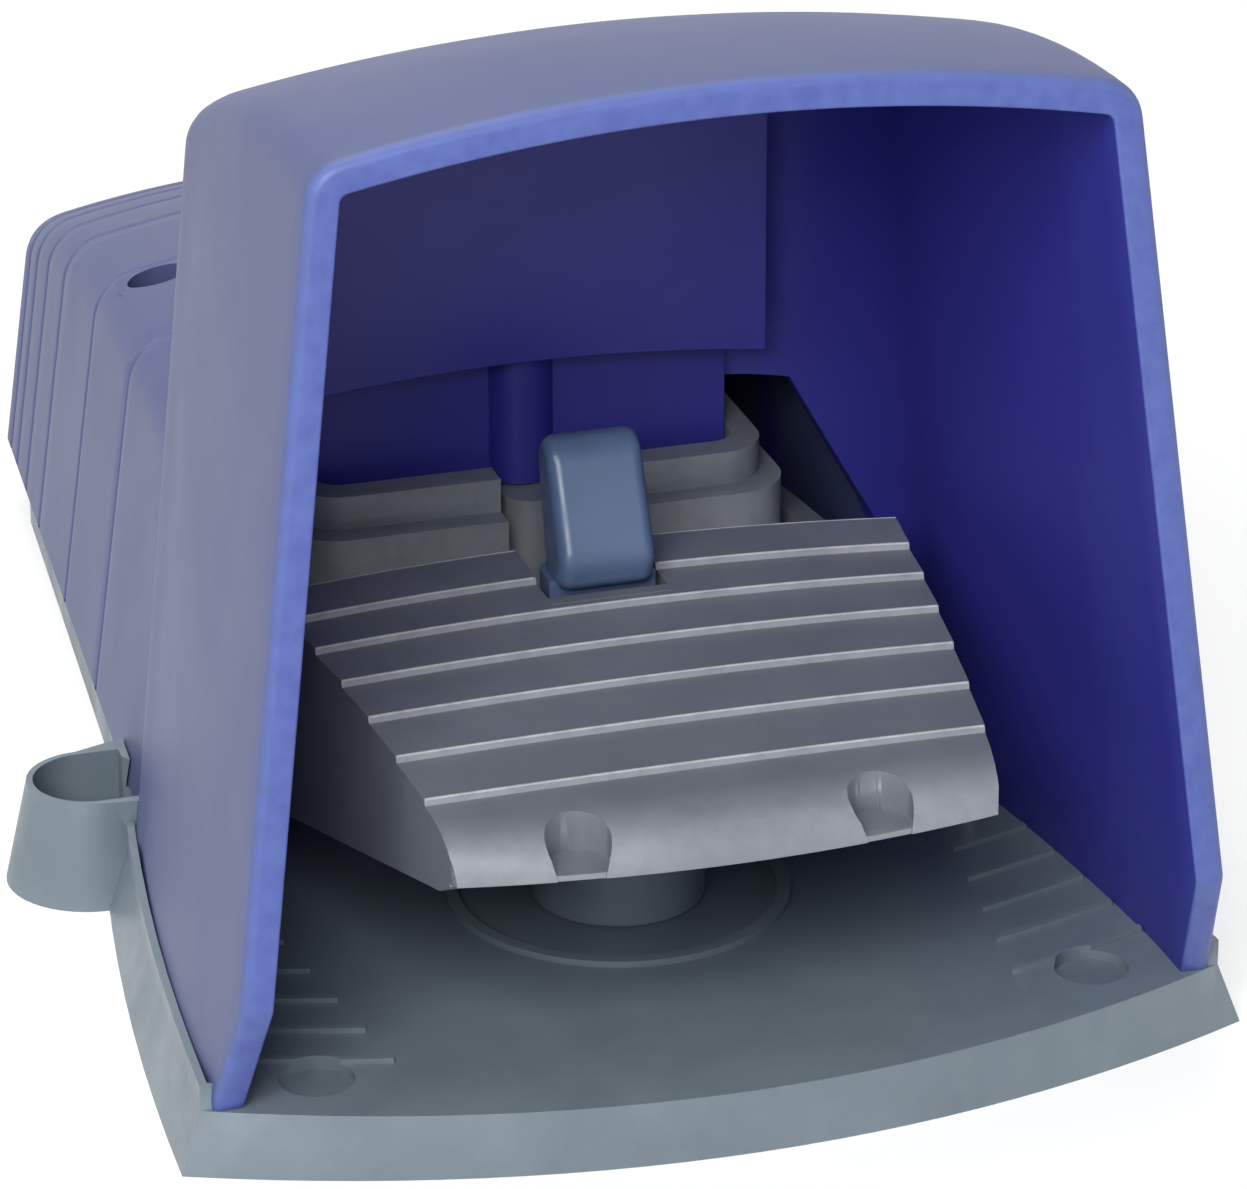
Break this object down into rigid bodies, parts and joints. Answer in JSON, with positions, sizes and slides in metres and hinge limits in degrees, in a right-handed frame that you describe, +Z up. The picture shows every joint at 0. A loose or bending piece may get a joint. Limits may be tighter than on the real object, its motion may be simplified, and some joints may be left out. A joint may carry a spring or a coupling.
{
  "type": "industrial foot switch",
  "caption": "Hooded industrial foot switch: a ribbed guard-covered pedal with a toe latch on a moulded base, working contact blocks in a grooved rear housing.",
  "frame": {"origin": "on the floor, midway between the two floor-fixing holes", "axes": "+Y from the foot opening to the rear, +Z up, +X to the right as the user sees it"},
  "size_m": [0.1672, 0.2703, 0.1542],
  "materials": {
    "base_polymer": "moulded slate grey, fine grain",
    "pedal_polymer": "moulded grey with worn step edges",
    "hood_polymer": "moulded violet blue, fine grain",
    "latch_polymer": "satin blue grey",
    "black_rubber": "matt",
    "black_polymer": "satin",
    "ivory_polymer": "satin",
    "red_polymer": "satin",
    "zinc_steel": "zinc plated",
    "spring_steel": "drawn wire",
    "bearing_brass": "turned"
  },
  "bodies": {
    "base": {"base_plate": "base_polymer", "rubber_pads": "black_rubber", "pivot_housing": "base_polymer", "hood": "hood_polymer", "front_housing": "hood_polymer", "rear_cover": "hood_polymer", "cover_gasket": "black_rubber", "spring_pillar": "base_polymer", "stop_ring": "black_rubber", "pivot_bushes": "bearing_brass", "contact_carrier": "zinc_steel", "carrier_screws": "zinc_steel", "contact_block_left": "ivory_polymer", "contact_block_right": "ivory_polymer", "terminal_screws": "zinc_steel", "earth_terminal": "bearing_brass", "blanking_plug": "black_polymer", "plug_seal": "black_rubber", "plug_nut": "black_polymer", "cover_screws": "zinc_steel", "hood_screws": "zinc_steel", "return_spring": "spring_steel"},
    "pedal": {"pedal": "pedal_polymer", "pivot_shaft": "zinc_steel", "shaft_clips": "spring_steel", "rocker": "zinc_steel", "rocker_pin": "spring_steel", "latch_pin": "zinc_steel", "latch_spring": "spring_steel"},
    "latch": {"latch_lever": "latch_polymer"},
    "plungers": {"contact_plungers": "red_polymer"}
  },
  "joints": [
    {"name": "pedal_hinge", "type": "hinge", "parent": "base", "child": "pedal", "pos_m": [0, 0.0196, 0.034], "axis": [1, 0, 0], "range_deg": [0, 7], "stiffness_Nm_per_rad": 4, "springref_deg": -6.88, "deforming": ["return_spring"]},
    {"name": "latch_hinge", "type": "hinge", "parent": "pedal", "child": "latch", "pos_m": [0, -0.0384, 0.047], "axis": [-1, 0, 0], "range_deg": [0, 18], "stiffness_Nm_per_rad": 0.05, "springref_deg": -17.19},
    {"name": "plunger_slide", "type": "slide", "parent": "base", "child": "plungers", "axis": [0, 0, 1], "range_m": [0, 0.00375]}
  ],
  "couplings": [
    {"joint": "plunger_slide", "follows": "pedal_hinge", "m_per_rad": 0.03}
  ]
}
